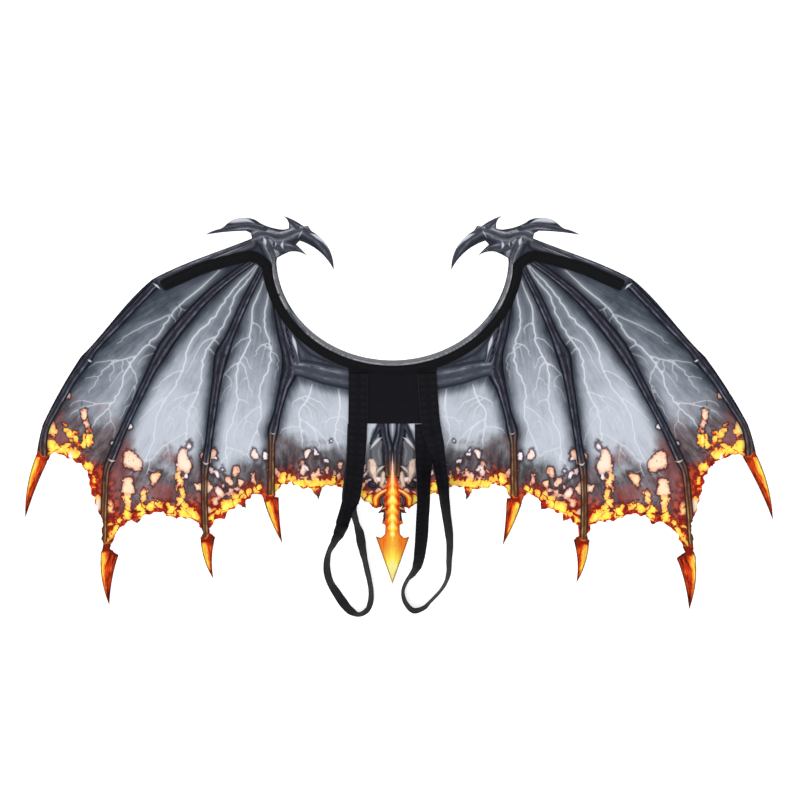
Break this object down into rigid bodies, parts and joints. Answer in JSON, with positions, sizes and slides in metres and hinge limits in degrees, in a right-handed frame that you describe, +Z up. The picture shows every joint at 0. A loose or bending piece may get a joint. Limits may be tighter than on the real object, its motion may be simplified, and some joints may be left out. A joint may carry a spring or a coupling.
{
  "type": "costume dragon wings",
  "caption": "Child's costume dragon wings: one cut felt panel with wings and tail, a wired casing round the neck and shoulders, a back patch and elastic arm loops, lying flat.",
  "frame": {"origin": "centre of the bounding box's base, on the surface the wings lie on", "axes": "+X from wing tip to wing tip, towards the picture's right; +Y from the tail to the neck; +Z up, out of the side with the straps"},
  "size_m": [1.1002, 0.589, 0.0432],
  "materials": {
    "felt": "matt printed felt",
    "tape": "woven tape",
    "cloth": "plain weave",
    "elastic": "ribbed elastic"
  },
  "bodies": {
    "root": {"wing_panel": "felt", "wire_casing": "tape", "back_patch": "cloth", "left_strap": "elastic", "right_strap": "elastic"}
  },
  "joints": []
}
